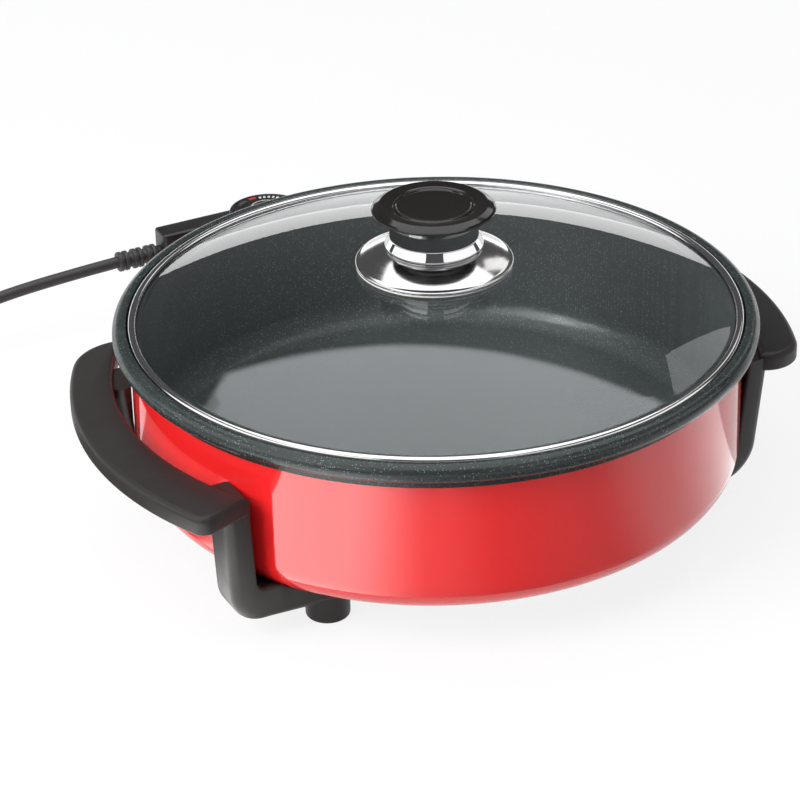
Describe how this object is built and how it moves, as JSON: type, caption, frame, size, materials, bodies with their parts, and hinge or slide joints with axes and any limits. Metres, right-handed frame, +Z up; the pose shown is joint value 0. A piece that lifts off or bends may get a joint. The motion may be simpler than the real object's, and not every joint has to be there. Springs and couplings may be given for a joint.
{
  "type": "electric skillet",
  "caption": "Round electric skillet: red enamelled pan with non-stick inside, loose domed glass lid, arched side handles with feet, and a plug-in thermostat control on a mains cord.",
  "frame": {"origin": "point on the table under the pan's axis, in the plane of the four feet", "axes": "+Z up along the pan's axis, +X towards the right handle, +Y towards the plug-in control"},
  "size_m": [0.5105, 0.434, 0.1668],
  "materials": {
    "pan_enamel": "glossy red enamel outside, dark grey speckled non-stick coating inside and over the rim",
    "cast_aluminium": "plain cast aluminium",
    "element_sheath": "dull dark oxidised steel",
    "ceramic": "cream ceramic",
    "nickel_plate": "nickel plated",
    "phenolic": "glossy black phenolic moulding",
    "zinc_steel": "zinc plated steel",
    "handle_plastic": "satin black heat-proof plastic",
    "tempered_glass": "clear toughened glass",
    "stainless": "polished stainless steel",
    "silicone": "matt translucent silicone",
    "chrome_plate": "mirror chrome",
    "control_plastic": "satin black plastic",
    "contact_brass": "plain brass",
    "lens_plastic": "clear red plastic",
    "lamp_glass": "neon lamp glass",
    "dial_plastic": "satin black plastic with printed marks",
    "cord_pvc": "satin black PVC",
    "tie_plastic": "black plastic band"
  },
  "bodies": {
    "base": {"pan": "pan_enamel", "heat_spreader": "cast_aluminium", "heating_element": "element_sheath", "element_insulators": "ceramic", "terminal_pins": "nickel_plate", "terminal_shroud": "phenolic", "shroud_screws": "zinc_steel", "probe_guide": "cast_aluminium", "left_handle": "handle_plastic", "right_handle": "handle_plastic", "handle_studs": "zinc_steel", "handle_washers": "zinc_steel", "handle_nuts": "zinc_steel"},
    "lid": {"lid_glass": "tempered_glass", "lid_band": "stainless", "plate_gasket": "silicone", "knob_plate": "stainless", "knob_collar": "chrome_plate", "knob_grip": "phenolic", "knob_seal": "silicone", "knob_washer": "zinc_steel", "knob_screw": "zinc_steel"},
    "control": {"lower_case": "control_plastic", "upper_case": "control_plastic", "contact_block": "phenolic", "contact_tubes": "contact_brass", "bus_bars": "contact_brass", "probe_tube": "nickel_plate", "thermostat_bracket": "zinc_steel", "contact_leaves": "contact_brass", "spindle_bush": "contact_brass", "pilot_lens": "lens_plastic", "pilot_lamp": "lamp_glass", "cord_clamp": "control_plastic", "case_screws": "zinc_steel", "strain_relief": "cord_pvc", "cord_run": "cord_pvc", "cord_coil": "cord_pvc", "cord_tie": "tie_plastic", "plug_body": "cord_pvc", "plug_pins": "nickel_plate"},
    "dial": {"dial": "dial_plastic", "dial_spindle": "zinc_steel"}
  },
  "joints": [
    {"name": "lid_lift", "type": "slide", "parent": "base", "child": "lid", "axis": [0, 0, 1], "range_m": [0, 0.12]},
    {"name": "control_pull", "type": "slide", "parent": "base", "child": "control", "axis": [0, 1, 0], "range_m": [0, 0.13]},
    {"name": "dial_turn", "type": "hinge", "parent": "control", "child": "dial", "pos_m": [0.022, 0.247, 0.054], "axis": [0, 0, -1], "range_deg": [0, 270]}
  ]
}
